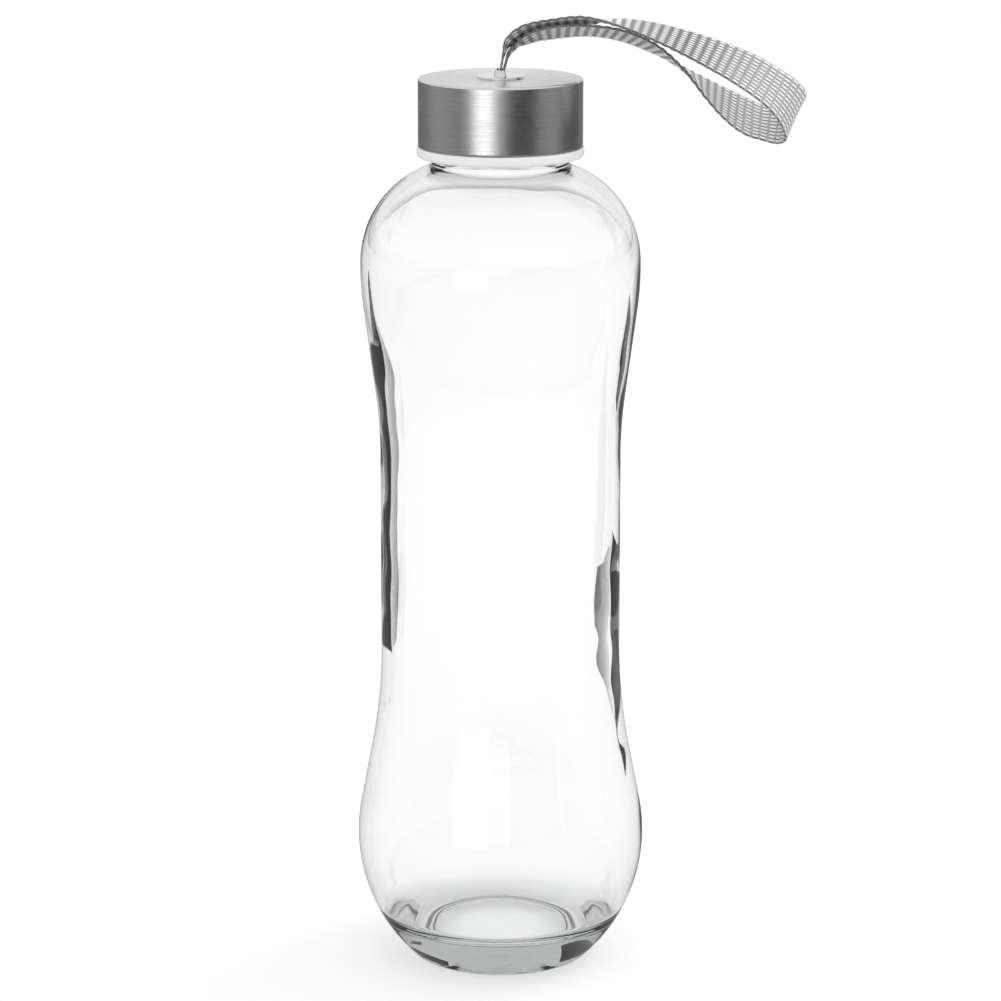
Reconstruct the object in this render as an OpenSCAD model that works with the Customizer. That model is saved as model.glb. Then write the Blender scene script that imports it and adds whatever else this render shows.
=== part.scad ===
// Glass water bottle with a screw cap and a woven carry loop.
// Z is up. The origin is the centre of the ring that the bottle stands on.

/* [Glass body] */
// Radius at the foot, where the base plane meets the heel
foot_r = 21.3; // [20.5:0.1:22.5]
// Lean of the heel from vertical, degrees
heel_lean = 45.6; // [42:0.1:48]
// Radius of the waist
waist_r = 29.85; // [29:0.05:31]
// Radius of the upper bulge
chest_r = 34.5; // [33.5:0.1:36]
// Height where the lower flank would meet the waist
waist_low_z = 67.8; // [64:0.1:70]
// Height where the upper flank leaves the waist
waist_high_z = 136.8; // [130:0.1:140]
// Lean of the flank between the lower bulge and the waist
lower_lean = 10.8; // [9:0.1:12]
// Lean of the flank between the waist and the upper bulge
upper_lean = 7.7; // [6.5:0.1:8.5]
// Height where the shoulder meets the neck
shoulder_z = 201.6; // [200.5:0.1:202.5]
// Lean of the shoulder where it meets the neck
shoulder_lean = 70.3; // [68:0.1:73]
// Thickness of the side wall
glass_wall = 2.4; // [1.8:0.1:3]
// Thickness of the heavy base at its centre
base_thick = 7.8; // [6:0.2:8]

/* [Neck and thread] */
// Outer radius of the neck
neck_r = 16.75; // [16.6:0.05:16.85]
// Radius of the mouth
mouth_r = 13.9; // [13:0.1:14.4]
// Height of the mouth's rim
rim_z = 216.2; // [215:0.1:217]
// Rise of the thread in one turn
pitch = 4.2; // [4:0.1:4.4]
// Turns of thread on the neck
neck_turns = 1.4; // [1:0.1:1.5]

/* [Cap] */
// Outer radius of the steel shell
shell_r = 20.2; // [20.2:0.05:20.6]
// Height of the steel top
cap_top_z = 223; // [222.8:0.1:224]
// Height of the steel skirt's lower edge
skirt_z = 206.2; // [205.6:0.1:206.6]
// Thickness of the steel sheet
steel = 0.45; // [0.3:0.05:0.45]
// Radius of the insert's lower flange
flange_r = 20.55; // [20.4:0.05:21.5]

/* [Carry loop] */
// Width of the webbing
web_w = 12; // [11:0.5:12.5]
// Thickness of the webbing
web_t = 0.8; // [0.6:0.1:0.9]
// Width of the webbing where it is gathered into the boss
root_w = 4.6; // [4:0.2:5]
// Radius of the round boss that carries the loop
boss_r = 5.85; // [5.2:0.05:7]

/* [Hidden] */
$fn = 96;

// Base of the bottle: standing ring and push-up
ring_in_r = 18.6;
push_up = 2.6;
floor_z = push_up + base_thick;
// Lean of the inner wall where it rises from the floor, and the blend between the two
inner_lean = 20;
floor_blend = 11;

// Blend radii of the body's corners, from the lower bulge to the neck. Negative is hollow.
BLENDS = [42, -137, -115, 77, 25, -1.5];

// Straight lines that the body's outline follows: a point and the lean outward from vertical
SIDES = [
    [[foot_r, 0], heel_lean],
    [[waist_r, waist_low_z], -lower_lean],
    [[waist_r, 0], 0],
    [[waist_r, waist_high_z], upper_lean],
    [[chest_r, 0], 0],
    [[neck_r, shoulder_z], -shoulder_lean],
    [[neck_r, 0], 0]
];

// Neck thread and cap thread
ridge_r = 18;
cap_bore_r = 18.3;
cap_ridge_r = 17.15;
neck_thread_z = 207.2;
cap_turns = 1.2;
ROOT_BURY = 0.3;
STEP = 10;

// Cap insert
flange_z = 203.7;
insert_r = shell_r - steel - 0.05;
seal_t = 1.55;
roof_z = rim_z + seal_t + 0.05;
roof_t = 1.4;
well_r = 17.6;
under_top_z = cap_top_z - steel;

// Boss in the cap's top
shank_r = 4.1;
disc_t = 0.5;
disc_z = cap_top_z + 0.02;
collar_z = disc_z + disc_t;
collar_h = 1.48;
collar_top_z = collar_z + collar_h;
washer_t = 0.7;
washer_z = under_top_z - 0.05 - washer_t;
shank_end_z = washer_z - 0.3;
crimp_h = 1.6;
crimp_z = shank_end_z - 0.1 - crimp_h;
tail_t = 1.8;
slot_gap = 0.05;

// The loop bends over at this height, above the collar
bend_z = collar_top_z + 1.1;
bend_r = 0.95;

// Middle line of the loop: out along the upper strand, round the end, back along the lower
LOOP = [
    [0.2, 0, bend_z], [0.8, 0, 228.8], [2.2, 0, 231.7], [6.2, 0, 234.1], [12.6, 0, 235.6],
    [20, -0.3, 236.8], [28, -0.6, 236.6], [36, -1.2, 234.8], [44.3, -2.2, 232],
    [52.3, -3.2, 228.7], [60, -4.2, 225], [66.7, -4.6, 220.6], [70.5, -2.6, 216.8],
    [72, 1.4, 213.2], [69.6, 6.2, 210.8], [64.5, 7.2, 211], [60, 6.3, 212.8],
    [55.4, 5, 215.7], [50.5, 3.8, 219.5], [44.1, 2.6, 224.9], [37.3, 1.6, 229.7],
    [30, 0.9, 232.9], [22, 0.4, 234.3], [13, 0, 234], [6.6, 0, 232.3],
    [2.5, 0, 229.6], [1.1, 0, bend_z]
];

// Direction across the webbing at each of those points, from its front edge to its back edge
ACROSS = [
    [0, 1, 0], [0, 1, -0.15], [0.1, 1, -0.3], [0.05, 1, -0.42], [0, 1, -0.4],
    [0, 1, -0.3], [0.05, 1, 0], [0.25, 1, 0.15], [0.5, 1, 0.25],
    [0.5, 1, 0.45], [0.7, 1, 0.6], [0.7, 1, 0.75], [0.6, 0.75, 0.9],
    [0.45, 0.35, 0.9], [0.35, 0.6, 0.75], [0.3, 0.8, 0.55], [0.4, 0.85, 0.45],
    [0.45, 0.9, 0.2], [0.3, 0.95, 0.05], [0.05, 1, -0.12], [0, 1, -0.3],
    [0, 1, -0.33], [0, 1, -0.32], [0, 1, -0.36], [0, 1, -0.3],
    [0, 1, 0], [0, 1, 0]
];
GATHER = 3.5;
RINGS_PER_SPAN = 3;
LOOP_RINGS = (len(LOOP) - 1) * RINGS_PER_SPAN + 1;

// ---- outline helpers ----

function unit(v) = v / norm(v);
function lean_dir(a) = [sin(a), cos(a)];

// A side line moved toward the axis by t
function inset(side, t) = [side[0] + t * [-cos(side[1]), sin(side[1])], side[1]];

// Where two side lines cross
function meet(a, b) =
    let (d = lean_dir(a[1]), e = lean_dir(b[1]), w = b[0] - a[0])
    a[0] + d * ((w.x * e.y - w.y * e.x) / (d.x * e.y - d.y * e.x));

// Corners [r, z, blend radius] of the body's skin, t inside its outer surface
function skin(t) = [
    for (i = [0 : len(BLENDS) - 1])
        let (p = meet(inset(SIDES[i], t), inset(SIDES[i + 1], t)))
        [p.x, p.y, BLENDS[i] > 0 ? BLENDS[i] - t : -BLENDS[i] + t]
];

// A side line of the given lean that touches the lower bulge's arc, t inside its surface
function heel_line(lean, t) =
    let (c = meet(inset(SIDES[0], BLENDS[0]), inset(SIDES[1], BLENDS[0])))
    [c + (BLENDS[0] - t) * [cos(lean), -sin(lean)], lean];

// Points of the arc that blends the corner q between its neighbours p and s
function arc_points(p, q, s, r) =
    let (
        u = unit(p - q), v = unit(s - q), half = acos(u * v) / 2,
        c = q + unit(u + v) * r / sin(half),
        a = q + u * r / tan(half), b = q + v * r / tan(half),
        a0 = atan2(a.y - c.y, a.x - c.x), a1 = atan2(b.y - c.y, b.x - c.x),
        turn = a1 - a0 - 360 * floor((a1 - a0 + 180) / 360),
        n = max(2, ceil(abs(turn) / 6))
    )
    [for (i = [0 : n]) c + r * [cos(a0 + turn * i / n), sin(a0 + turn * i / n)]];

function flat2(p) = [p.x, p.y];

// A closed outline from corners [x, y, blend radius]
function rounded(corners) =
    let (n = len(corners))
    [for (i = [0 : n - 1])
        let (c = corners[i], before = corners[(i + n - 1) % n], after = corners[(i + 1) % n])
        for (p = c[2] > 0 ? arc_points(flat2(before), flat2(c), flat2(after), c[2]) : [flat2(c)])
            p
    ];

module turned(corners) {
    rotate_extrude() polygon(rounded(corners));
}

function reversed(list) = [for (i = [len(list) - 1 : -1 : 0]) list[i]];

// ---- sweeps ----

// Skin of a tube made of rings of m points each
function tube_faces(rings, m) = concat(
    [[for (j = [m - 1 : -1 : 0]) j]],
    [[for (j = [0 : m - 1]) (rings - 1) * m + j]],
    [for (i = [0 : rings - 2], j = [0 : m - 1])
        [i * m + j, (i + 1) * m + (j + 1) % m, (i + 1) * m + j]],
    [for (i = [0 : rings - 2], j = [0 : m - 1])
        [i * m + j, i * m + (j + 1) % m, (i + 1) * m + (j + 1) % m]]
);

// Ridge of a thread, from a buried root at root_r to its crest, fading in and out at its ends
module ridge(root_r, crest_r, root_half, crest_half, z0, turns) {
    steps = ceil(turns * 360 / STEP);
    side = sign(crest_r - root_r);
    function fade(i) = min(1, max(0.02, min(i, steps - i) * STEP / 40));
    function ring(i) =
        let (a = i * turns * 360 / steps, z = z0 + pitch * a / 360,
            crest = root_r + (crest_r - root_r) * fade(i))
        [for (p = [[root_r, -root_half], [crest, -crest_half], [crest, crest_half],
            [root_r, root_half]])
            [p[0] * cos(a), p[0] * sin(a), z + p[1]]];
    points = [for (i = [0 : steps]) each side > 0 ? ring(i) : reversed(ring(i))];
    polyhedron(points, tube_faces(steps + 1, 4));
}

// Smooth value between b and c, at t from 0 to 1
function smooth(a, b, c, d, t) =
    0.5 * (2 * b + (c - a) * t + (2 * a - 5 * b + 4 * c - d) * t * t
        + (3 * b - a - 3 * c + d) * t * t * t);

function along(list, i, t) =
    let (n = len(list) - 1)
    smooth(list[max(i - 1, 0)], list[i], list[min(i + 1, n)], list[min(i + 2, n)], t);

// Value of a list at ring k of the loop
function loop_at(list, k) =
    let (i = min(floor(k / RINGS_PER_SPAN), len(list) - 2))
    along(list, i, k / RINGS_PER_SPAN - i);

// Webbing narrows to its root at both ends of the loop
function web_width(u) =
    let (n = len(LOOP) - 1, k = min(1, min(u, n - u) / GATHER))
    root_w + (web_w - root_w) * k * k * (3 - 2 * k);

module stadium(w, l, h) {
    linear_extrude(h) {
        square([w, l - w], center = true);
        for (y = [-1, 1]) translate([0, y * (l - w) / 2]) circle(d = w);
    }
}

// ---- glass ----

module bottle() color([0.82, 0.9, 0.9, 0.35]) {
    outer = skin(0);
    inner = skin(glass_wall);
    last = len(inner) - 1;
    heel = heel_line(inner_lean, glass_wall);
    belly = meet(heel, inset(SIDES[1], glass_wall));
    floor_edge = meet(heel, [[0, floor_z], 90]);
    throat = meet(inset(SIDES[last], glass_wall), [[mouth_r, 0], 0]);
    turned(concat(
        [[0, push_up, 0], [ring_in_r - 1.6, push_up - 0.8, 3], [ring_in_r, 0, 0.8],
            [foot_r, 0, 3]],
        outer,
        [[neck_r, rim_z, 1.1], [mouth_r, rim_z, 1.1], [throat.x, throat.y, 2]],
        [for (i = [last - 1 : -1 : 1]) inner[i]],
        [[belly.x, belly.y, BLENDS[0] - glass_wall], [floor_edge.x, floor_edge.y, floor_blend],
            [0, floor_z, 0]]
    ));
    ridge(neck_r - ROOT_BURY, ridge_r, 1.45, 0.6, neck_thread_z, neck_turns);
}

// ---- cap ----

module cap_shell() color([0.72, 0.73, 0.74]) {
    turned([
        [shank_r + 0.05, under_top_z, 0], [shell_r - steel, under_top_z, 0.2],
        [shell_r - steel, skirt_z + 0.05, 0], [shell_r, skirt_z + 0.05, 0],
        [shell_r, cap_top_z, 0.6], [shank_r + 0.05, cap_top_z, 0]
    ]);
}

module cap_insert() color([0.93, 0.94, 0.93]) {
    top = under_top_z - 0.05;
    turned([
        [cap_bore_r, flange_z, 0.4], [flange_r, flange_z, 0.9], [flange_r, skirt_z, 0.3],
        [insert_r, skirt_z, 0], [insert_r, top, 0.5], [well_r, top, 0.3],
        [well_r, roof_z + roof_t, 0.8], [0, roof_z + roof_t, 0],
        [0, roof_z, 0], [cap_bore_r, roof_z, 0]
    ]);
    ridge(cap_bore_r + ROOT_BURY, cap_ridge_r, 1.2, 0.45, neck_thread_z - pitch / 2, cap_turns);
}

module seal_disc() color([0.85, 0.86, 0.85]) {
    translate([0, 0, rim_z]) cylinder(r = cap_bore_r - 0.4, h = seal_t);
}

// ---- boss, washer, crimp and webbing ----

module strap_boss() color([0.7, 0.71, 0.72]) {
    difference() {
        union() {
            turned([
                [0, disc_z, 0], [boss_r, disc_z, 0], [boss_r, collar_z, 0.2],
                [0, collar_z, 0]
            ]);
            translate([0, 0, shank_end_z]) cylinder(r = shank_r, h = disc_z - shank_end_z + 0.1);
            hull() for (y = [-1, 1]) translate([0, y * (root_w - tail_t) / 2, collar_z - 0.1])
                cylinder(r1 = tail_t / 2 + 0.75, r2 = tail_t / 2 + 0.35, h = collar_h + 0.1, $fn = 32);
        }
        translate([0, 0, shank_end_z - 1])
            stadium(tail_t + 2 * slot_gap, root_w + 2 * slot_gap, 10);
    }
}

module boss_washer() color([0.6, 0.61, 0.62]) {
    translate([0, 0, washer_z]) difference() {
        cylinder(r = boss_r + 1, h = washer_t);
        translate([0, 0, -1]) cylinder(r = shank_r + 0.02, h = washer_t + 2);
    }
}

module strap_crimp() color([0.55, 0.56, 0.57]) {
    translate([0, 0, crimp_z]) difference() {
        stadium(tail_t + 1.8, root_w + 1.8, crimp_h);
        translate([0, 0, -1]) stadium(tail_t + 0.04, root_w + 0.04, crimp_h + 2);
    }
}

module strap_tail() color([0.62, 0.63, 0.64]) {
    translate([0, 0, crimp_z - 0.1])
        stadium(tail_t, root_w, collar_top_z - crimp_z + 0.1);
}

module strap() color([0.66, 0.67, 0.68]) {
    points = [for (k = [0 : LOOP_RINGS - 1])
        let (
            c = loop_at(LOOP, k), w = unit(loop_at(ACROSS, k)) * web_width(k / RINGS_PER_SPAN) / 2,
            ahead = loop_at(LOOP, min(k + 1, LOOP_RINGS - 1)) - loop_at(LOOP, max(k - 1, 0)),
            n = unit(cross(w, ahead)) * web_t / 2
        )
        each [c - w - n, c + w - n, c + w + n, c - w + n]
    ];
    polyhedron(points, tube_faces(LOOP_RINGS, 4));
    translate([0, 0, bend_z]) rotate([90, 0, 0])
        cylinder(r = bend_r, h = root_w, center = true);
}

bottle();
cap_shell();
cap_insert();
seal_disc();
strap_boss();
boss_washer();
strap_crimp();
strap_tail();
strap();
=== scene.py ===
# %% [markdown]
# # A glass water bottle with a steel cap and a woven carry loop
# The design is already a working assembly: a frame of nodes that ride on bodies joined by joints.
# This lesson dresses that frame. Turned pieces are made by one lathe of Geometry Nodes, the
# webbing is woven in mesh code, and each finish is a small tree of shader nodes.

# %% Load the frame and keep its box
import math

import bmesh
import bpy
import numpy as np
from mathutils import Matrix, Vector


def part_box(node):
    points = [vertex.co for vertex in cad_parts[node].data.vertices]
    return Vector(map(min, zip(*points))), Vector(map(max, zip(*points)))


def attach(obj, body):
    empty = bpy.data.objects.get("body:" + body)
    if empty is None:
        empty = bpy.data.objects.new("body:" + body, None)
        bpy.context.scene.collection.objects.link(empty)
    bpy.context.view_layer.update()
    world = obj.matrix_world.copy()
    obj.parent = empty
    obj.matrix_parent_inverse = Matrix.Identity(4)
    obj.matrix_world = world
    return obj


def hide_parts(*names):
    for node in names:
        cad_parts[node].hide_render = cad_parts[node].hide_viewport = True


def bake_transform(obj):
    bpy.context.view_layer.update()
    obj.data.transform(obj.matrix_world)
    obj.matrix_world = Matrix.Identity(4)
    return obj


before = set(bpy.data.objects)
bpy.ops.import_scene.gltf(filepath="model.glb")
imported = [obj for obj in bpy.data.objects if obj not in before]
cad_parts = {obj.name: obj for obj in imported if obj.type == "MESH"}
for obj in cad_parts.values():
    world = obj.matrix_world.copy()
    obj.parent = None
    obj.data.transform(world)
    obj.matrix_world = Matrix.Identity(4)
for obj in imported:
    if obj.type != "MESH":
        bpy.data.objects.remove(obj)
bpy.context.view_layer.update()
MM = 0.001

# %% [markdown]
# ## The camera
# A product is often shot with a long lens from a little above, because that keeps its sides
# nearly parallel. Here the camera stands a metre away, looks down by 12.8 degrees, and has the
# field of view of a 153 mm lens on full-frame film.

# %% Camera
CAMERA_AWAY = 1.035
CAMERA_HIGH = 0.353
CAMERA_DOWN = 12.83
LENS_MM = 153.2

lens = bpy.data.cameras.new("studio_camera")
lens.lens = LENS_MM
lens.sensor_width = 36
camera = bpy.data.objects.new("studio_camera", lens)
camera.location = (0, -CAMERA_AWAY, CAMERA_HIGH)
camera.rotation_euler = (math.radians(90 - CAMERA_DOWN), 0, 0)
bpy.context.scene.collection.objects.link(camera)
bpy.context.scene.camera = camera
bpy.context.scene.view_settings.view_transform = "Standard"

# %% [markdown]
# ## Small helpers for node trees
# Shader trees and geometry trees are built the same way: add a node, set its options, and give
# each input a number or a link. Three short functions keep the cells below readable.

# %% Helpers for node trees
def add(tree, kind, options=None, inputs=None):
    """Adds a node. An input's value is either a socket to link from or a plain value."""
    node = tree.nodes.new(kind)
    for name, value in (options or {}).items():
        setattr(node, name, value)
    for name, value in (inputs or {}).items():
        if isinstance(value, bpy.types.NodeSocket):
            tree.links.new(value, node.inputs[name])
        else:
            node.inputs[name].default_value = value
    return node


def calc(tree, operation, *values):
    """One Math node, and its result."""
    node = add(tree, "ShaderNodeMath", {"operation": operation}, dict(enumerate(values)))
    return node.outputs[0]


def ramp(tree, value, low, high, to_low=0.0, to_high=1.0):
    """Maps low..high to to_low..to_high with a smooth start and end."""
    return add(
        tree, "ShaderNodeMapRange", {"interpolation_type": "SMOOTHSTEP"},
        {"Value": value, "From Min": low, "From Max": high, "To Min": to_low, "To Max": to_high},
    ).outputs[0]


# %% [markdown]
# ## The studio
# Clear glass shows only what it bends and steel shows only what it mirrors, so both are lit by
# their surroundings. The table is white and glows a little from below, as an acrylic shooting
# table does, and the room is white. Black flags stand close behind the bottle and draw its dark
# edges. They are tied to the camera, so they stay behind the bottle from every side. Grey cards
# further out, and one bright one, draw the bands on the cap. Ray visibility keeps the flags to
# what is seen through glass and the cards to what is mirrored, so neither shows in the picture
# or shades the table. Mirrors don't see the table either: below the horizon they see a dim room,
# which gives steel, edges and the loop's underside their depth. A small disc under the base
# glows more than the table, and makes the base look brighter than the table alone would.

# %% Floor and room
def link(obj):
    bpy.context.scene.collection.objects.link(obj)
    return obj


def plain_material(name, grey, glow=0.0):
    material = bpy.data.materials.new(name)
    material.use_nodes = True
    shader = material.node_tree.nodes["Principled BSDF"]
    shader.inputs["Base Color"].default_value = (grey, grey, grey, 1)
    shader.inputs["Roughness"].default_value = 1.0
    shader.inputs["Specular IOR Level"].default_value = 0.0
    shader.inputs["Emission Color"].default_value = (1, 1, 1, 1)
    shader.inputs["Emission Strength"].default_value = glow
    return material


FLOOR_HALF = 8.0
TABLE_GREY, TABLE_GLOW = 0.72, 0.32
ROOM_LIGHT, BELOW = 0.90, 0.25       # the room's strength above and below the horizon
HORIZON_LOW, HORIZON_HIGH = -0.06, 0.05
floor_mesh = bpy.data.meshes.new("floor")
floor_mesh.from_pydata(
    [(FLOOR_HALF * x, FLOOR_HALF * y, 0) for x, y in ((-1, -1), (1, -1), (1, 1), (-1, 1))], [],
    [(0, 1, 2, 3)],
)
floor_mesh.materials.append(plain_material("white_table", TABLE_GREY, TABLE_GLOW))
floor = link(bpy.data.objects.new("floor", floor_mesh))
floor.visible_glossy = False

world = bpy.data.worlds.new("white_room")
world.use_nodes = True
sky = world.node_tree
upward = add(sky, "ShaderNodeSeparateXYZ", None, {0: add(sky, "ShaderNodeTexCoord").outputs[0]})
sky.links.new(ramp(sky, upward.outputs["Z"], HORIZON_LOW, HORIZON_HIGH, BELOW, ROOM_LIGHT),
              sky.nodes["Background"].inputs["Strength"])
sky.nodes["Background"].inputs["Color"].default_value = (1, 1, 1, 1)
bpy.context.scene.world = world


# %% Softbox, flags, glowing disc and cards
def softbox(name, place, aim, size, power):
    light = bpy.data.lights.new(name, "AREA")
    light.size = size
    light.energy = power
    obj = link(bpy.data.objects.new(name, light))
    obj.location = place
    obj.rotation_euler = (Vector(place) - Vector(aim)).to_track_quat("Z", "Y").to_euler()
    return obj


def card(name, first, last, away, low, high, material, mirrored):
    """An upright card from azimuth first to last, with the heights of its foot and its top there.

    Azimuth 0 is behind the bottle, 90 its right.
    """
    ends = [
        (away * math.sin(math.radians(a)), away * math.cos(math.radians(a)))
        for a in (first, last)
    ]
    mesh = bpy.data.meshes.new(name)
    mesh.from_pydata(
        [(*ends[0], low[0]), (*ends[1], low[1]), (*ends[1], high[1]), (*ends[0], high[0])], [],
        [(0, 1, 2, 3)],
    )
    mesh.materials.append(material)
    obj = link(bpy.data.objects.new(name, mesh))
    obj.visible_camera = obj.visible_shadow = obj.visible_diffuse = False
    obj.visible_glossy = mirrored
    obj.visible_transmission = not mirrored
    return obj


KEY_PLACE, KEY_AIM, KEY_SIZE, KEY_POWER = (1.1, 0.5, 1.5), (0, 0, 0.05), 0.9, 11
key = softbox("key_light", KEY_PLACE, KEY_AIM, KEY_SIZE, KEY_POWER)
key.visible_glossy = key.visible_transmission = False

FLAG_AWAY = 0.25
# First and last azimuth, height of the foot at each, heights of the top.
FLAGS = [
    (-46, -21, 0.018, 0.026, (0.14, 0.09)), (18, 44, 0.018, 0.010, (0.036, 0.055)),
    (32, 44, 0.085, 0.085, (0.10, 0.12)),
]
black = plain_material("black_flag", 0.01)
bpy.context.view_layer.update()
for i, (first, last, low_first, low_last, high) in enumerate(FLAGS):
    flag = card(f"flag_{i}", first, last, FLAG_AWAY, (low_first, low_last), high, black,
                mirrored=False)
    flag.parent = camera
    flag.matrix_parent_inverse = camera.matrix_world.inverted()

POOL_R, POOL_Z, POOL_SIDES = 0.0183, 0.0002, 64
POOL_GLOW, POOL_RIM = 0.72, 0.32     # its strength in the middle and at the rim
pool_turns = [math.tau * k / POOL_SIDES for k in range(POOL_SIDES)]
pool_mesh = bpy.data.meshes.new("light_pool")
pool_mesh.from_pydata(
    [(POOL_R * math.cos(a), POOL_R * math.sin(a), POOL_Z) for a in pool_turns], [],
    [tuple(range(POOL_SIDES))],
)
pool_material = plain_material("light_pool", TABLE_GREY)
pool_tree = pool_material.node_tree
from_middle = add(
    pool_tree, "ShaderNodeVectorMath", {"operation": "LENGTH"},
    {0: add(pool_tree, "ShaderNodeTexCoord").outputs["Object"]},
).outputs["Value"]
pool_tree.links.new(ramp(pool_tree, from_middle, 0.5 * POOL_R, POOL_R, POOL_GLOW, POOL_RIM),
                    pool_tree.nodes["Principled BSDF"].inputs["Emission Strength"])
pool_mesh.materials.append(pool_material)
pool = link(bpy.data.objects.new("light_pool", pool_mesh))
pool.visible_shadow = pool.visible_glossy = pool.visible_diffuse = False

CARD_AWAY, CARD_LOW, CARD_HIGH = 0.95, 0.001, 0.30
# Name, first and last azimuth, grey, glow.
CARDS = [
    ("right", 42, 86, 0.08, 0), ("front_right", 92, 128, 0.30, 0), ("front", 130, 172, 0.01, 0),
    ("bright", 190, 216, 0.8, 1.2), ("front_left", 220, 250, 0.14, 0),
    ("left", 250, 296, 0.30, 0), ("back_left", 296, 340, 0.16, 0),
]
for name, first, last, grey, glow in CARDS:
    card(f"card_{name}", first, last, CARD_AWAY, (CARD_LOW, CARD_LOW), (CARD_HIGH, CARD_HIGH),
         plain_material(f"card_{name}", grey, glow), mirrored=True)

# %% [markdown]
# ## A lathe made of Geometry Nodes
# Bottle and cap shell are round, so one tree makes both: it takes a profile, which
# is a strip of points at radius x and height z, and turns it into a grid of columns round the axis.
# Each grid point reads its own profile point by its row number, so tight corners keep their
# points. Two more inputs make what a plain lathe can't: an uneven inner wall, as hot glass leaves
# it, and a screw thread, which is a ridge whose height follows the turn.

# %% The lathe tree
def socket(tree, name, kind, value=None):
    made = tree.interface.new_socket(name, in_out="INPUT", socket_type=kind)
    if value is not None:
        made.default_value = value
    return made


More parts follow.
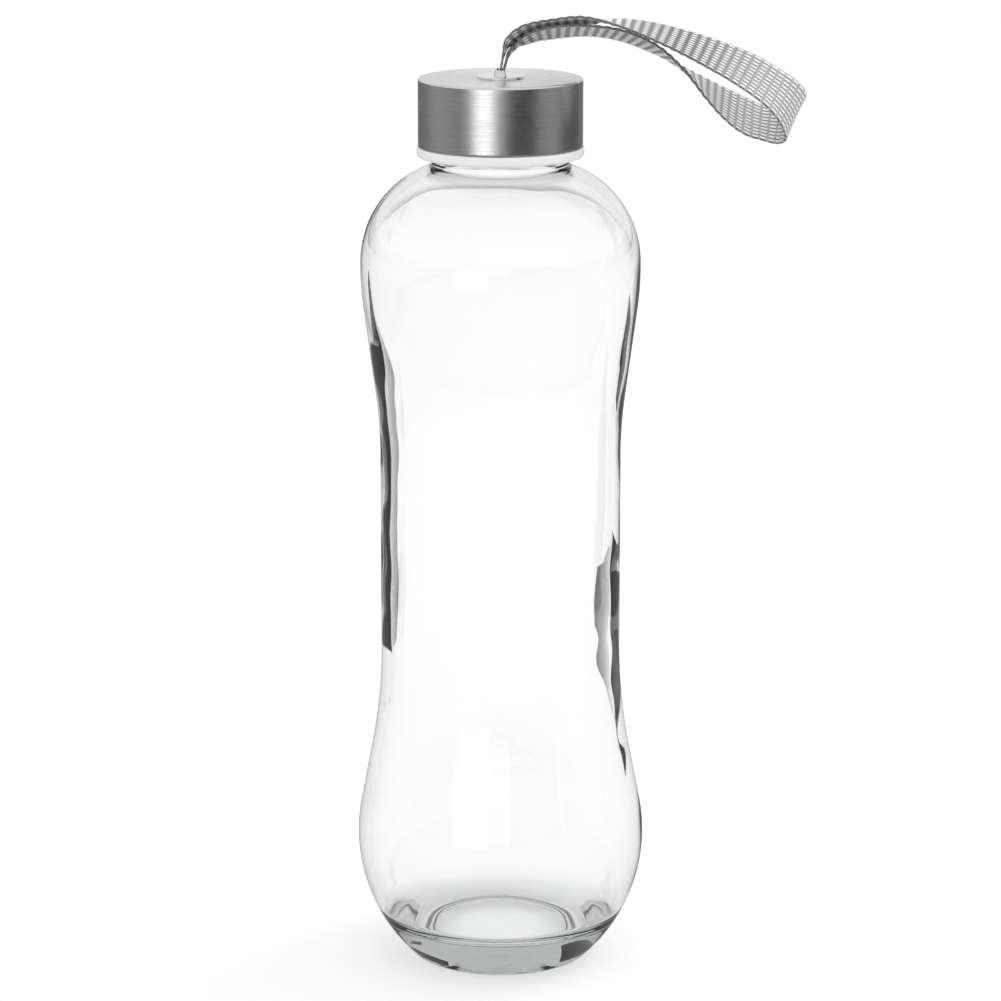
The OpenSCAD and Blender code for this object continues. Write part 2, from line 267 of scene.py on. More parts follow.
def lathe_tree():
    tree = bpy.data.node_groups.new("lathe", "GeometryNodeTree")
    tree.interface.new_socket("Geometry", in_out="OUTPUT", socket_type="NodeSocketGeometry")
    socket(tree, "Profile", "NodeSocketObject")
    socket(tree, "Columns", "NodeSocketInt", 128)
    socket(tree, "Material", "NodeSocketMaterial")
    socket(tree, "Wall ripple", "NodeSocketFloat", 0.0)
    socket(tree, "Ripple size", "NodeSocketFloat", 0.03)
    socket(tree, "Seed", "NodeSocketFloat", 0.0)
    socket(tree, "Thread height", "NodeSocketFloat", 0.0)
    socket(tree, "Thread start", "NodeSocketFloat", 0.0)
    socket(tree, "Thread pitch", "NodeSocketFloat", 0.004)
    socket(tree, "Thread turns", "NodeSocketFloat", 1.0)
    given = add(tree, "NodeGroupInput").outputs

    profile = add(tree, "GeometryNodeObjectInfo", None, {"Object": given["Profile"]})
    profile = profile.outputs["Geometry"]
    rows = add(tree, "GeometryNodeAttributeDomainSize", None, {"Geometry": profile})
    rows = rows.outputs["Point Count"]
    grid = add(
        tree, "GeometryNodeMeshGrid", None,
        {"Vertices X": calc(tree, "ADD", given["Columns"], 1), "Vertices Y": rows},
    ).outputs["Mesh"]

    index = add(tree, "GeometryNodeInputIndex").outputs[0]
    column = calc(tree, "FLOOR", calc(tree, "DIVIDE", calc(tree, "ADD", index, 0.5), rows))
    row = calc(tree, "SUBTRACT", index, calc(tree, "MULTIPLY", column, rows))
    place = add(
        tree, "GeometryNodeSampleIndex", {"data_type": "FLOAT_VECTOR", "domain": "POINT"},
        {"Geometry": profile, "Value": add(tree, "GeometryNodeInputPosition").outputs[0],
         "Index": row},
    ).outputs["Value"]
    turn = calc(tree, "DIVIDE", column, given["Columns"])
    place = add(
        tree, "ShaderNodeVectorRotate", {"rotation_type": "Z_AXIS"},
        {"Vector": place, "Angle": calc(tree, "MULTIPLY", turn, math.tau)},
    ).outputs[0]
    turned = add(tree, "GeometryNodeSetPosition", None, {"Geometry": grid, "Position": place})

    def carried(name):
        value = add(
            tree, "GeometryNodeInputNamedAttribute", {"data_type": "FLOAT"}, {"Name": name}
        ).outputs["Attribute"]
        return add(
            tree, "GeometryNodeSampleIndex", {"data_type": "FLOAT", "domain": "POINT"},
            {"Geometry": profile, "Value": value, "Index": row},
        ).outputs["Value"]

    def stored(geometry, name, value):
        return add(
            tree, "GeometryNodeStoreNamedAttribute", {"data_type": "FLOAT", "domain": "POINT"},
            {"Geometry": geometry, "Name": name, "Value": value},
        ).outputs["Geometry"]

    shape = stored(turned.outputs["Geometry"], "wall", carried("wall"))
    shape = stored(shape, "neck", carried("neck"))
    shape = add(
        tree, "GeometryNodeMergeByDistance", None, {"Geometry": shape, "Distance": 2e-6}
    ).outputs["Geometry"]

    def named(name):
        return add(
            tree, "GeometryNodeInputNamedAttribute", {"data_type": "FLOAT"}, {"Name": name}
        ).outputs["Attribute"]

    position = add(tree, "GeometryNodeInputPosition").outputs[0]
    noise = add(
        tree, "ShaderNodeTexNoise", {"noise_dimensions": "4D", "normalize": True},
        {"Vector": position, "W": given["Seed"], "Detail": 1.0, "Roughness": 0.4,
         "Scale": calc(tree, "DIVIDE", 1.0, given["Ripple size"])},
    ).outputs[0]
    swell = calc(tree, "MULTIPLY", calc(tree, "SUBTRACT", noise, 0.5), given["Wall ripple"])
    swell = calc(tree, "MULTIPLY", swell, named("wall"))
    normal = add(tree, "GeometryNodeInputNormal").outputs[0]
    shift = add(
        tree, "ShaderNodeVectorMath", {"operation": "SCALE"}, {0: normal, "Scale": swell}
    ).outputs[0]
    shape = add(
        tree, "GeometryNodeSetPosition", None, {"Geometry": shape, "Offset": shift}
    ).outputs["Geometry"]

    part = add(tree, "ShaderNodeSeparateXYZ", None, {0: position}).outputs
    angle = calc(tree, "DIVIDE", calc(tree, "ARCTAN2", part["Y"], part["X"]), math.tau)
    angle = calc(tree, "FRACT", calc(tree, "ADD", angle, 1.0))
    height = calc(tree, "SUBTRACT", part["Z"], given["Thread start"])
    height = calc(tree, "SUBTRACT", calc(tree, "DIVIDE", height, given["Thread pitch"]), angle)
    lap = calc(tree, "MAXIMUM", calc(tree, "ROUND", height), 0.0)
    off = calc(tree, "ABSOLUTE", calc(tree, "SUBTRACT", height, lap))
    along = calc(tree, "ADD", angle, lap)
    left = calc(tree, "SUBTRACT", given["Thread turns"], along)
    fade = ramp(tree, calc(tree, "MINIMUM", along, left), 0.0, 0.11)
    ridge = calc(tree, "MULTIPLY", ramp(tree, off, 0.14, 0.35, 1.0, 0.0), fade)
    ridge = calc(tree, "MULTIPLY", ridge, calc(tree, "MULTIPLY", given["Thread height"],
                                               named("neck")))
    outward = add(tree, "ShaderNodeCombineXYZ", None, {"X": part["X"], "Y": part["Y"]}).outputs[0]
    outward = add(
        tree, "ShaderNodeVectorMath", {"operation": "NORMALIZE"}, {0: outward}
    ).outputs[0]
    shift = add(
        tree, "ShaderNodeVectorMath", {"operation": "SCALE"}, {0: outward, "Scale": ridge}
    ).outputs[0]
    shape = add(
        tree, "GeometryNodeSetPosition", None, {"Geometry": shape, "Offset": shift}
    ).outputs["Geometry"]
    shape = add(tree, "GeometryNodeSetShadeSmooth", None, {"Geometry": shape}).outputs[0]
    shape = add(tree, "GeometryNodeRealizeInstances", None, {"Geometry": shape}).outputs[0]
    shape = add(
        tree, "GeometryNodeSetMaterial", None,
        {"Geometry": shape, "Material": given["Material"]},
    ).outputs[0]
    add(tree, "NodeGroupOutput", None, {"Geometry": shape})
    return tree


LATHE = lathe_tree()
print("lathe tree:", len(LATHE.nodes), "nodes")

# %% [markdown]
# ## Profiles from corners
# A profile is written as a designer dimensions it: corners, each with the radius of the arc that
# rounds it. The function below lays points on each arc and adds points on long straights, so
# that the uneven wall has something to bend.

# %% Profiles and turned pieces
def arc(before, corner, after, radius, step):
    """Points of the arc of that radius that rounds a corner."""
    u = (before - corner) / np.linalg.norm(before - corner)
    v = (after - corner) / np.linalg.norm(after - corner)
    half = math.acos(max(-1.0, min(1.0, float(u @ v)))) / 2
    centre = corner + (u + v) / np.linalg.norm(u + v) * radius / math.sin(half)
    start = corner + u * radius / math.tan(half) - centre
    end = corner + v * radius / math.tan(half) - centre
    a = math.atan2(start[1], start[0])
    sweep = (math.atan2(end[1], end[0]) - a + math.pi) % math.tau - math.pi
    count = max(3, math.ceil(abs(sweep) / math.radians(step)))
    angles = a + sweep * np.arange(count + 1) / count
    return [centre + radius * np.array([math.cos(t), math.sin(t)]) for t in angles]


def profile_points(corners, longest=1.2 * MM, step=6, closed=True):
    """Points (radius, height) along rounded corners (radius, height, blend)."""
    flat = [np.array(c[:2], float) for c in corners]
    count = len(corners)
    points = []
    for i, corner in enumerate(corners):
        blend = corner[2]
        if blend > 0 and (closed or 0 < i < count - 1):
            finest = min(step, math.degrees(longest / blend))
            points += arc(flat[i - 1], flat[i], flat[(i + 1) % count], blend, finest)
        else:
            points.append(flat[i])
    if closed:
        points.append(points[0])
    dense = [points[0]]
    for a, b in zip(points, points[1:]):
        cuts = max(1, math.ceil(np.linalg.norm(b - a) / longest))
        dense += [a + (b - a) * k / cuts for k in range(1, cuts + 1)]
    return np.array(dense)


def turned_piece(name, points, material, columns=128, **extra):
    """Turns a profile with the lathe, and returns a plain mesh object."""
    strip = bpy.data.meshes.new(name + "_profile")
    strip.from_pydata(
        [(r, 0, z) for r, z in points], [(i, i + 1) for i in range(len(points) - 1)], []
    )
    for mask in ("wall", "neck"):
        values = extra.pop(mask, np.zeros(len(points)))
        strip.attributes.new(mask, "FLOAT", "POINT").data.foreach_set("value", values)
    helper = link(bpy.data.objects.new(name + "_profile", strip))
    raw = link(bpy.data.objects.new(name + "_raw", bpy.data.meshes.new(name + "_raw")))
    modifier = raw.modifiers.new("lathe", "NODES")
    modifier.node_group = LATHE
    settings = {"Profile": helper, "Columns": columns, "Material": material, **extra}
    for item in LATHE.interface.items_tree:
        if item.in_out == "INPUT" and item.name in settings:
            modifier[item.identifier] = settings[item.name]
    graph = bpy.context.evaluated_depsgraph_get()
    mesh = bpy.data.meshes.new_from_object(raw.evaluated_get(graph))
    bpy.data.objects.remove(raw)
    bpy.data.objects.remove(helper)
    shell = bmesh.new()
    shell.from_mesh(mesh)
    bmesh.ops.dissolve_degenerate(shell, dist=1e-7, edges=shell.edges)
    bmesh.ops.recalc_face_normals(shell, faces=shell.faces)
    if shell.calc_volume(signed=True) < 0:
        bmesh.ops.reverse_faces(shell, faces=shell.faces)
    open_edges = sum(1 for e in shell.edges if not e.is_manifold)
    shell.to_mesh(mesh)
    volume = shell.calc_volume(signed=True)
    shell.free()
    for attribute in ("wall", "neck"):
        mesh.attributes.remove(mesh.attributes[attribute])
    mesh.name = name
    piece = link(bpy.data.objects.new(name, mesh))
    print(f"{name}: {len(mesh.polygons)} faces, {volume * 1e6:.2f} ml, {open_edges} open edges")
    return piece


# %% [markdown]
# ## Finishes
# Each finish is a small tree. What several of them share, such as the fine lines that a lathe
# tool or a belt leaves, is a node group that puts out only masks, and each material places it
# with its own values.

# %% Group: lines left by turning
def group(name, ins, outs):
    tree = bpy.data.node_groups.new(name, "ShaderNodeTree")
    for label, kind, value in ins:
        made = tree.interface.new_socket(label, in_out="INPUT", socket_type=kind)
        if value is not None:
            made.default_value = value
    for label, kind in outs:
        tree.interface.new_socket(label, in_out="OUTPUT", socket_type=kind)
    given = add(tree, "NodeGroupInput").outputs
    return tree, given


def turning_lines():
    """Fine rings round Z: their lines vary with radius and height, and break up round the turn."""
    tree, given = group(
        "turning_lines",
        [("Coordinates", "NodeSocketVector", None), ("Lines per mm", "NodeSocketFloat", 6.0),
         ("Streak length", "NodeSocketFloat", 0.5)],
        [("Lines", "NodeSocketFloat"), ("Blotches", "NodeSocketFloat")],
    )
    part = add(tree, "ShaderNodeSeparateXYZ", None, {0: given["Coordinates"]}).outputs
    radius = calc(tree, "SQRT", calc(
        tree, "ADD", calc(tree, "MULTIPLY", part["X"], part["X"]),
        calc(tree, "MULTIPLY", part["Y"], part["Y"])))
    angle = calc(tree, "ARCTAN2", part["Y"], part["X"])
    per_m = calc(tree, "MULTIPLY", given["Lines per mm"], 1000.0)
    across = add(
        tree, "ShaderNodeCombineXYZ", None,
        {"X": calc(tree, "MULTIPLY", radius, per_m), "Y": calc(tree, "MULTIPLY", part["Z"], per_m),
         "Z": calc(tree, "DIVIDE", calc(tree, "SINE", angle), given["Streak length"])},
    ).outputs[0]
    lines = add(
        tree, "ShaderNodeTexNoise", {"noise_dimensions": "4D"},
        {"Vector": across, "Scale": 1.0, "Detail": 2.0,
         "W": calc(tree, "DIVIDE", calc(tree, "COSINE", angle), given["Streak length"])},
    ).outputs[0]
    blotches = add(
        tree, "ShaderNodeTexNoise", None,
        {"Vector": given["Coordinates"], "Scale": 160.0, "Detail": 3.0},
    ).outputs[0]
    add(tree, "NodeGroupOutput", None, {"Lines": lines, "Blotches": blotches})
    return tree


LINES = turning_lines()


def object_coordinates(tree):
    return add(tree, "ShaderNodeTexCoord").outputs["Object"]


def new_material(name, **constants):
    """A material with its Principled shader's constant sockets set by name."""
    material = bpy.data.materials.new(name)
    material.use_nodes = True
    tree = material.node_tree
    shader = tree.nodes["Principled BSDF"]
    for label, value in constants.items():
        shader.inputs[label.replace("_", " ")].default_value = value
    return material, tree, shader


# %% Steel, glass and plastics
LINE_SHADE = 0.82                    # a turned line's brightness beside the steel's own
BLOTCH_ROUGH = 0.10                  # how far blotches vary the roughness
GLASS_DENSITY = 22.0
SHADOW_CLEAR = 0.86                  # the share of a shadow ray that the glass lets through


def steel(name, colour, lines_per_mm, streak, rough, grain, anisotropic):
    material, tree, shader = new_material(name, Metallic=1.0, Anisotropic=anisotropic)
    lines = add(
        tree, "ShaderNodeGroup", {"node_tree": LINES},
        {"Coordinates": object_coordinates(tree), "Lines per mm": lines_per_mm,
         "Streak length": streak},
    ).outputs
    tint = add(
        tree, "ShaderNodeMix", {"data_type": "RGBA"},
        {"Factor": ramp(tree, lines["Lines"], 0.3, 0.7),
         "A": (*[c * LINE_SHADE for c in colour], 1), "B": (*colour, 1)},
    ).outputs["Result"]
    roughness = calc(tree, "ADD", rough, calc(
        tree, "MULTIPLY", calc(tree, "SUBTRACT", lines["Blotches"], 0.5), BLOTCH_ROUGH))
    bump = add(
        tree, "ShaderNodeBump", None,
        {"Height": lines["Lines"], "Strength": grain, "Distance": 0.00002},
    ).outputs[0]
    tangent = add(tree, "ShaderNodeTangent", {"direction_type": "RADIAL", "axis": "Z"}).outputs[0]
    for label, value in (("Base Color", tint), ("Roughness", roughness), ("Normal", bump),
                         ("Tangent", tangent)):
        tree.links.new(value, shader.inputs[label])
    return material


def clear_glass():
    material, tree, shader = new_material(
        "clear_glass", Base_Color=(0.985, 0.99, 0.985, 1), Transmission_Weight=1.0, IOR=1.51,
        Roughness=0.0,
    )
    absorb = add(
        tree, "ShaderNodeVolumeAbsorption", None,
        {"Color": (0.50, 0.53, 0.52, 1), "Density": GLASS_DENSITY},
    )
    shaded = calc(tree, "MULTIPLY", add(tree, "ShaderNodeLightPath").outputs["Is Shadow Ray"],
                  SHADOW_CLEAR)
    clear = add(tree, "ShaderNodeMixShader", None,
                {0: shaded, 1: shader.outputs[0],
                 2: add(tree, "ShaderNodeBsdfTransparent").outputs[0]})
    output = tree.nodes["Material Output"]
    tree.links.new(clear.outputs[0], output.inputs["Surface"])
    tree.links.new(absorb.outputs[0], output.inputs["Volume"])
    return material


def moulded_plastic(name, colour, rough, subsurface):
    material, tree, shader = new_material(
        name, Base_Color=(*colour, 1), Subsurface_Weight=subsurface, Subsurface_Scale=0.002,
        Specular_IOR_Level=0.45,
    )
    speckle = add(
        tree, "ShaderNodeTexNoise", None,
        {"Vector": object_coordinates(tree), "Scale": 2200.0, "Detail": 2.0},
    ).outputs[0]
    tree.links.new(ramp(tree, speckle, 0.2, 0.8, rough - 0.06, rough + 0.08),
                   shader.inputs["Roughness"])
    bump = add(
        tree, "ShaderNodeBump", None, {"Height": speckle, "Strength": 0.15, "Distance": 0.00003}
    ).outputs[0]
    tree.links.new(bump, shader.inputs["Normal"])
    return material


STEEL_SKIRT = steel("brushed_skirt", (0.74, 0.745, 0.75), 5.0, 0.35, 0.26, 0.5, 0.75)
STEEL_BOSS = steel("turned_boss", (0.76, 0.76, 0.77), 7.0, 0.8, 0.11, 0.2, 0.0)
STEEL_HIDDEN = steel("pressed_steel", (0.55, 0.55, 0.56), 3.0, 0.5, 0.38, 0.3, 0.2)
GLASS = clear_glass()
WHITE_PLASTIC = moulded_plastic("natural_plastic", (0.90, 0.91, 0.90), 0.38, 0.25)
SILICONE = moulded_plastic("silicone", (0.80, 0.81, 0.80), 0.55, 0.3)

# %% [markdown]
# ## The glass bottle
# The bottle is blown into a mould, so its outside is exact and its inside is where the glass
# settled: thick in the base, uneven along the walls. The design's side lines and blend radii give
# the outside here, and only the push-up under the base has a slightly different shape. The
# inside is drawn freely: a smaller fillet than the design's rounds the floor, and ripples of a
# few tenths of a millimetre bend what is seen through the walls.

# %% Bottle profile
FOOT_R, HEEL_LEAN = 21.3, 45.6
WAIST_R, CHEST_R, NECK_R, MOUTH_R = 29.85, 34.5, 16.75, 13.9
RIM_Z = 216.2
FLOOR_Z = 10.4
WALL = 2.4
RING_IN_R = 18.6
INNER_LEAN, FLOOR_BLEND, RIM_BLEND, THROAT_BLEND = 20, 6, 1.1, 2
BLENDS = (42, -137, -115, 77, 25, -1.5)
SIDES = (
    ((FOOT_R, 0), HEEL_LEAN), ((WAIST_R, 67.8), -10.8), ((WAIST_R, 0), 0),
    ((WAIST_R, 136.8), 7.7), ((CHEST_R, 0), 0), ((NECK_R, 201.6), -70.3), ((NECK_R, 0), 0),
)


def inset(side, t):
    (x, z), lean = side
    a = math.radians(lean)
    return (x - t * math.cos(a), z + t * math.sin(a)), lean


def meet(side_a, side_b):
    """Where two side lines cross."""
    (ax, az), (bx, bz) = side_a[0], side_b[0]
    d = [(math.sin(math.radians(s[1])), math.cos(math.radians(s[1]))) for s in (side_a, side_b)]
    wx, wz = bx - ax, bz - az
    k = (wx * d[1][1] - wz * d[1][0]) / (d[0][0] * d[1][1] - d[0][1] * d[1][0])
    return ax + d[0][0] * k, az + d[0][1] * k


def skin(t):
    corners = []
    for i, blend in enumerate(BLENDS):
        x, z = meet(inset(SIDES[i], t), inset(SIDES[i + 1], t))
        corners.append((x, z, blend - t if blend > 0 else t - blend))
    return corners


def heel_line(lean, t):
    """A side line of that lean that touches the lower bulge's arc, t inside its surface."""
    cx, cz = meet(inset(SIDES[0], BLENDS[0]), inset(SIDES[1], BLENDS[0]))
    a = math.radians(lean)
    return (cx + (BLENDS[0] - t) * math.cos(a), cz - (BLENDS[0] - t) * math.sin(a)), lean


def bottle_corners():
    inner = skin(WALL)
    heel = heel_line(INNER_LEAN, WALL)
    belly = meet(heel, inset(SIDES[1], WALL))
    floor_edge = meet(heel, ((0, FLOOR_Z), 90))
    throat = meet(inset(SIDES[5], WALL), ((MOUTH_R, 0), 0))
    return [
        (0, 2.4, 0), (16.8, 2.2, 3), (RING_IN_R, 0, 0.8), (FOOT_R, 0, 3), *skin(0),
        (NECK_R, RIM_Z, RIM_BLEND), (MOUTH_R, RIM_Z, RIM_BLEND), (*throat, THROAT_BLEND),
        *inner[4:0:-1], (*belly, BLENDS[0] - WALL), (*floor_edge, FLOOR_BLEND), (0, FLOOR_Z, 0),
    ]


corners = [tuple(v * MM for v in corner) for corner in bottle_corners()]
bottle_profile = profile_points(corners, longest=1.2 * MM, step=5, closed=False)
distance = np.cumsum(np.r_[0, np.linalg.norm(np.diff(bottle_profile, axis=0), axis=1)])
rim_row = int(np.argmax(bottle_profile[:, 1]))
PAST_RIM = 12                        # profile points from the rim's top to the inner wall
inside = np.arange(len(bottle_profile)) > rim_row + PAST_RIM
height = bottle_profile[:, 1]

# The inner wall is even in the neck and at the floor, and uneven between.
EVEN_FROM, EVEN_FADE = 0.200, 0.010
EVEN_BELOW, FLOOR_FADE = 0.014, 0.030
wall_mask = np.where(inside, np.clip((EVEN_FROM - height) / EVEN_FADE, 0, 1), 0.0)
wall_mask *= np.clip((height - EVEN_BELOW) / FLOOR_FADE, 0, 1)

# The thread stands on the outside of the neck only.
NECK_LOW, NECK_HIGH, NECK_LEAST_R = 0.2045, 0.2155, 0.0160
on_neck = (bottle_profile[:, 0] > NECK_LEAST_R) & (height > NECK_LOW) & (height < NECK_HIGH)
neck_mask = np.where((~inside) & on_neck, 1.0, 0.0)
print("bottle profile:", len(bottle_profile), "points,", round(distance[-1] / MM), "mm long")

# %% Turn the bottle
RIPPLE, RIPPLE_SIZE, RIPPLE_SEED = 0.9 * MM, 0.024, 3.0
THREAD_HEIGHT, THREAD_START, THREAD_PITCH, THREAD_TURNS = 1.25 * MM, 0.2072, 4.2 * MM, 1.4
bottle = turned_piece(
    "glass_bottle", bottle_profile, GLASS, columns=160, wall=wall_mask, neck=neck_mask,
    **{"Wall ripple": RIPPLE, "Ripple size": RIPPLE_SIZE, "Seed": RIPPLE_SEED,
       "Thread height": THREAD_HEIGHT, "Thread start": THREAD_START,
       "Thread pitch": THREAD_PITCH, "Thread turns": THREAD_TURNS},
)
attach(bottle, "bottle")
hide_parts("bottle")

# %% [markdown]
# ## The cap
# The steel shell is a deep-drawn cup, brushed on a lathe. Its top edge is rolled over a small
# radius that catches a thin light line, and its lower edge is turned in against the plastic.

# %% Steel shell
shell_low, shell_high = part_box("cap_shell")
shell_r = shell_high.x / MM
top_z, skirt_z = shell_high.z / MM, shell_low.z / MM
SHEET = 0.45
HOLE_R = 4.15
cap_corners = [
    (HOLE_R, top_z - SHEET, 0.05), (shell_r - SHEET, top_z - SHEET, 0.25),
    (shell_r - SHEET, skirt_z + 0.02, 0.12), (shell_r - 0.04, skirt_z + 0.02, 0.16),
    (shell_r, skirt_z + 0.5, 0.3), (shell_r, top_z - 0.02, 0.55), (HOLE_R, top_z, 0.05),
]
shell = turned_piece(
    "steel_shell", profile_points([tuple(v * MM for v in c) for c in cap_corners],
                                  longest=1.5 * MM, step=8),
    STEEL_SKIRT, columns=160,
)
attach(shell, "cap")
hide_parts("cap_shell")

# %% [markdown]
# ## Pieces that keep the design's shape
# The insert, seal, washer, crimp and boss are plain moulded, cut and pressed pieces. Their
# design shapes are right, so each only gets its finish.

# %% Finishes of the design's own pieces
for node, material in (
    ("cap_insert", WHITE_PLASTIC), ("seal_disc", SILICONE), ("strap_boss", STEEL_BOSS),
    ("boss_washer", STEEL_HIDDEN), ("strap_crimp", STEEL_HIDDEN),
):
    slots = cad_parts[node].data.materials
    slots.clear()
    slots.append(material)

# %% [markdown]
# ## The carry loop
# The loop is one length of polyester webbing. It goes up out of the boss, over and round to its
# folded end, and back. Ribs of thick weft cross it every couple of millimetres, and between
# them the warp floats as short rounded bars. The dark in the gaps between the bars is painted
# shade, and so are the dark stripes by the ribs near both ends, where the webbing puckers. The
# webbing is woven here in mesh code: rows of points follow the route, and each row is a flat
# ring of points that is raised on the bars and sunk in the gaps. A map that counts ribs along
# the cloth and yarns across it carries the finish.

# %% Route of the webbing
ROOT_Z = 226.1                       # where the two strands leave the boss
LOOP = [
    (0.2, 0, ROOT_Z), (0.8, 0, 228.8), (2.2, 0, 231.7), (6.2, 0, 234.1), (12.6, 0, 235.6),
    (20, -0.3, 236.8), (28, -0.6, 236.6), (36, -1.2, 234.8), (44.3, -2.2, 232),
    (52.3, -3.2, 228.7), (60, -4.2, 225), (66.7, -4.6, 220.6), (70.5, -2.6, 216.8),
    (72, 1.4, 213.2), (69.6, 6.2, 210.8), (64.5, 7.2, 211), (60, 6.3, 212.8),
    (55.4, 5, 215.7), (50.5, 3.8, 219.5), (44.1, 2.6, 224.9), (37.3, 1.6, 229.7),
    (30, 0.9, 232.9), (22, 0.4, 234.3), (13, 0, 234), (6.6, 0, 232.3),
    (2.5, 0, 229.6), (1.1, 0, ROOT_Z),
]
ACROSS = [
    (0, 1, 0), (0, 1, -0.15), (0.1, 1, -0.3), (0.05, 1, -0.42), (0, 1, -0.4),
    (0, 1, -0.3), (0.05, 1, 0), (0.25, 1, 0.15), (0.5, 1, 0.25),
    (0.5, 1, 0.45), (0.7, 1, 0.6), (0.7, 1, 0.75), (0.6, 0.75, 0.9),
    (0.45, 0.35, 0.9), (0.35, 0.6, 0.75), (0.3, 0.8, 0.55), (0.4, 0.85, 0.45),
    (0.45, 0.9, 0.2), (0.3, 0.95, 0.05), (0.05, 1, -0.12), (0, 1, -0.3),
    (0, 1, -0.33), (0, 1, -0.32), (0, 1, -0.36), (0, 1, -0.3),
    (0, 1, 0), (0, 1, 0),
]
WEB_W, WEB_T, ROOT_W = 12.0, 0.8, 4.6
GATHER_MM = 14.0
TAIL_Z, TAIL_X = 219.7, 0.42
SPAN_STEPS = 24
RIB_EVERY, YARNS = 2.3, 11


def smooth_rows(rows, per_span):
    """A smooth line through the rows, per_span steps between each two."""
    rows = np.array(rows, float)
    padded = np.vstack([2 * rows[0] - rows[1], rows, 2 * rows[-1] - rows[-2]])
    t = (np.arange(per_span) / per_span)[:, None]
    out = []
    for a, b, c, d in zip(padded, padded[1:], padded[2:], padded[3:]):
        out.append(0.5 * (2 * b + (c - a) * t + (2 * a - 5 * b + 4 * c - d) * t ** 2
                          + (3 * b - a - 3 * c + d) * t ** 3))
    return np.vstack([*out, rows[-1]])


def unit(v):
    return v / np.linalg.norm(v, axis=-1, keepdims=True)


tail_up = [(-TAIL_X, 0, z) for z in (TAIL_Z, 221.5, 223.5)]
tail_down = [(TAIL_X, 0, z) for z in (223.5, 221.5, TAIL_Z)]
flat_across = [(0, 1, 0)] * 3
fine_line = smooth_rows(tail_up + LOOP + tail_down, SPAN_STEPS)
fine_across = smooth_rows(flat_across + ACROSS + flat_across, SPAN_STEPS)
travel = np.r_[0, np.cumsum(np.linalg.norm(np.diff(fine_line, axis=0), axis=1))]
web_length = travel[-1]
print("webbing length in mm:", round(web_length, 1))

# %% Weave the webbing
ROWS_PER_RIB = 8
rib_count = round(web_length / RIB_EVERY)
rib_gap = web_length / rib_count
rows_along = np.arange(rib_count * ROWS_PER_RIB + 1) / ROWS_PER_RIB * rib_gap
line = np.stack([np.interp(rows_along, travel, fine_line[:, k]) for k in range(3)], axis=1)
wide = unit(np.stack([np.interp(rows_along, travel, fine_across[:, k]) for k in range(3)], axis=1))
ahead = unit(np.gradient(line, rows_along, axis=0))
wide = unit(wide - ahead * (wide * ahead).sum(1, keepdims=True))
face = unit(np.cross(wide, ahead))

from_root = np.minimum(rows_along, web_length - rows_along) - (ROOT_Z - TAIL_Z)
spread = np.clip(from_root / GATHER_MM, 0, 1)
spread = spread ** 2 * (3 - 2 * spread)
half_width = (ROOT_W + (WEB_W - ROOT_W) * spread) / 2

PER_YARN = 4
PLEAT, PUCKER, FACE_SHARE = 0.42, 0.09, 0.72
columns = np.linspace(-1, 1, YARNS * PER_YARN + 1)
rib_phase = rows_along / rib_gap % 1
rib = np.exp(-((np.minimum(rib_phase, 1 - rib_phase)) / 0.13) ** 2)
yarn = np.sin(np.pi * (columns + 1) / 2 * YARNS) ** 2
floats = 1 - rib
relief = 0.16 * (floats[:, None] * (yarn[None, :] - 0.55)) + 0.10 * rib[:, None]
edge_fade = np.clip((1 - np.abs(columns)) * YARNS, 0.15, 1)
relief = relief * edge_fade[None, :]
gathered = 4 * spread * (1 - spread)
pleat = PLEAT * gathered[:, None] * np.cos(3 * np.pi * columns)[None, :]
pleat = pleat * np.where(rows_along < web_length / 2, 1, -1)[:, None]
sag = np.sin(rows_along / 17.0)[:, None] * 0.12 * columns[None, :] ** 2

cross = line[:, None, :] + wide[:, None, :] * (half_width[:, None] * columns[None, :])[:, :, None]
pucker = PUCKER * np.cos(math.tau * rib_phase) * np.clip((78 - from_root) / 26, 0.25, 1)
middle = pleat + sag + (pucker * spread)[:, None]
half_t = 0.5 * WEB_T * (0.55 + 0.45 * spread)[:, None]
upper = cross + face[:, None, :] * (middle + half_t * FACE_SHARE + relief)[:, :, None]
lower = cross + face[:, None, :] * (middle - half_t * FACE_SHARE - relief)[:, :, None]
ring = np.concatenate([upper, lower[:, ::-1]], axis=1) * MM
rows_n, ring_n = ring.shape[:2]

vertices = ring.reshape(-1, 3)
quads = []
for i in range(rows_n - 1):
    for j in range(ring_n):
        k = (j + 1) % ring_n
        quads.append((i * ring_n + j, i * ring_n + k, (i + 1) * ring_n + k, (i + 1) * ring_n + j))
start_cap = tuple(range(ring_n))[::-1]
end_cap = tuple((rows_n - 1) * ring_n + j for j in range(ring_n))
web_mesh = bpy.data.meshes.new("webbing_loop")
web_mesh.from_pydata([tuple(v) for v in vertices], [], [*quads, start_cap, end_cap])
uv = web_mesh.uv_layers.new(name="cloth_mm")
ring_columns = np.concatenate([columns, columns[::-1]])
vertex_uv = np.stack([
    np.repeat(rows_along / rib_gap, ring_n), np.tile((ring_columns + 1) / 2 * YARNS, rows_n)
], axis=1)
loop_vertices = np.zeros(len(web_mesh.loops), int)
web_mesh.loops.foreach_get("vertex_index", loop_vertices)
uv.data.foreach_set("uv", vertex_uv[loop_vertices].ravel())
web_mesh.polygons.foreach_set("use_smooth", [True] * len(web_mesh.polygons))
shell_mesh = bmesh.new()
shell_mesh.from_mesh(web_mesh)
if shell_mesh.calc_volume(signed=True) < 0:
    bmesh.ops.reverse_faces(shell_mesh, faces=shell_mesh.faces)
    shell_mesh.to_mesh(web_mesh)
shell_mesh.free()
print("webbing:", len(web_mesh.polygons), "faces,", rib_count, "ribs")

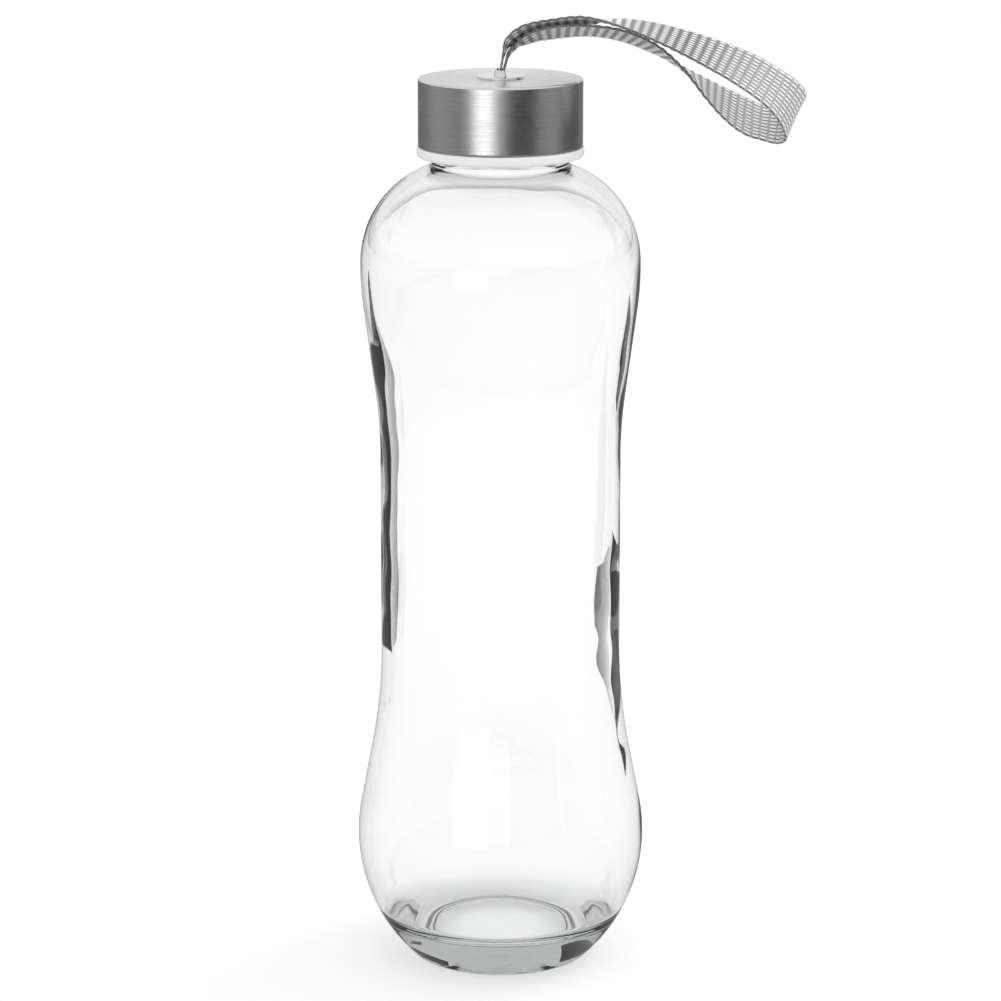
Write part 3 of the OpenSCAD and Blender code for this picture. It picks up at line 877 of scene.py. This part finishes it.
# %% Webbing finish
def webbing_material():
    material, tree, shader = new_material(
        "silver_webbing", Sheen_Weight=0.25, Sheen_Roughness=0.4, Specular_IOR_Level=0.5,
        Subsurface_Weight=0.5, Subsurface_Scale=0.0015, Subsurface_Radius=(1, 1, 1),
    )
    uv_map = add(tree, "ShaderNodeUVMap", {"uv_map": "cloth_mm"}).outputs[0]
    part = add(tree, "ShaderNodeSeparateXYZ", None, {0: uv_map}).outputs
    along = calc(tree, "FRACT", part["X"])
    from_rib = calc(tree, "MINIMUM", along, calc(tree, "SUBTRACT", 1.0, along))
    rib_mask = ramp(tree, from_rib, 0.08, 0.2, 1.0, 0.0)
    in_yarn = calc(tree, "ABSOLUTE", calc(
        tree, "SUBTRACT", calc(tree, "FRACT", part["Y"]), 0.5))
    gap = ramp(tree, in_yarn, 0.24, 0.40)
    fibres = add(
        tree, "ShaderNodeTexNoise", None,
        {"Vector": add(tree, "ShaderNodeMapping", None,
                       {"Vector": uv_map, "Scale": (2.0, 14.0, 1.0)}).outputs[0],
         "Scale": 1.0, "Detail": 2.0},
    ).outputs[0]
    mottled = add(
        tree, "ShaderNodeTexNoise", None,
        {"Vector": uv_map, "Scale": 0.9, "Detail": 2.0},
    ).outputs[0]
    # Painted shade: this factor is low in the gaps between the floats and darkens them as shade
    # would; fibre and mottle noise vary the yarn's own tone.
    shade = calc(tree, "MULTIPLY", calc(tree, "SUBTRACT", 1.0, calc(
        tree, "MULTIPLY", gap, calc(tree, "SUBTRACT", 1.0, rib_mask))),
        ramp(tree, fibres, 0.25, 0.75, 0.8, 1.0))
    shade = calc(tree, "MULTIPLY", shade, ramp(tree, mottled, 0.3, 0.7, 0.85, 1.0))
    float_mask = calc(tree, "MULTIPLY", calc(tree, "SUBTRACT", 1.0, rib_mask),
                      calc(tree, "SUBTRACT", 1.0, gap))
    # Painted shade: for 24 to 36 ribs from each end, where the webbing puckers, a dark stripe by
    # each rib stands in for the shade of the puckered cloth.
    end_ribs = calc(tree, "MINIMUM", part["X"], calc(tree, "SUBTRACT", rib_count, part["X"]))
    painted_rib_shade = calc(tree, "MULTIPLY", ramp(tree, end_ribs, 24, 36, 0.65, 0.0),
                  ramp(tree, from_rib, 0.12, 0.38, 1.0, 0.0))
    # The ribs' own grey, turned near-black in the gaps between the floats as painted shade.
    ground_with_gap_shade = add(
        tree, "ShaderNodeMix", {"data_type": "RGBA"},
        {"Factor": shade, "A": (0.13, 0.13, 0.135, 1), "B": (0.50, 0.50, 0.51, 1)},
    ).outputs["Result"]
    woven = add(
        tree, "ShaderNodeMix", {"data_type": "RGBA"},
        {"Factor": float_mask, "A": ground_with_gap_shade, "B": (0.90, 0.905, 0.915, 1)},
    ).outputs["Result"]
    # Near the ends the stripes by the ribs turn near-black (0.05): painted shade.
    colour = add(
        tree, "ShaderNodeMix", {"data_type": "RGBA"},
        {"Factor": painted_rib_shade, "A": woven, "B": (0.05, 0.05, 0.052, 1)},
    ).outputs["Result"]
    tree.links.new(colour, shader.inputs["Base Color"])
    tree.links.new(calc(tree, "MULTIPLY", float_mask, 0.3), shader.inputs["Metallic"])
    tree.links.new(ramp(tree, fibres, 0.2, 0.8, 0.38, 0.55), shader.inputs["Roughness"])
    bump = add(
        tree, "ShaderNodeBump", None, {"Height": fibres, "Strength": 0.5, "Distance": 0.00006}
    ).outputs[0]
    tree.links.new(bump, shader.inputs["Normal"])
    return material


web_mesh.materials.append(webbing_material())
webbing = link(bpy.data.objects.new("webbing_loop", web_mesh))
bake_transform(webbing)
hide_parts("strap", "strap_tail")
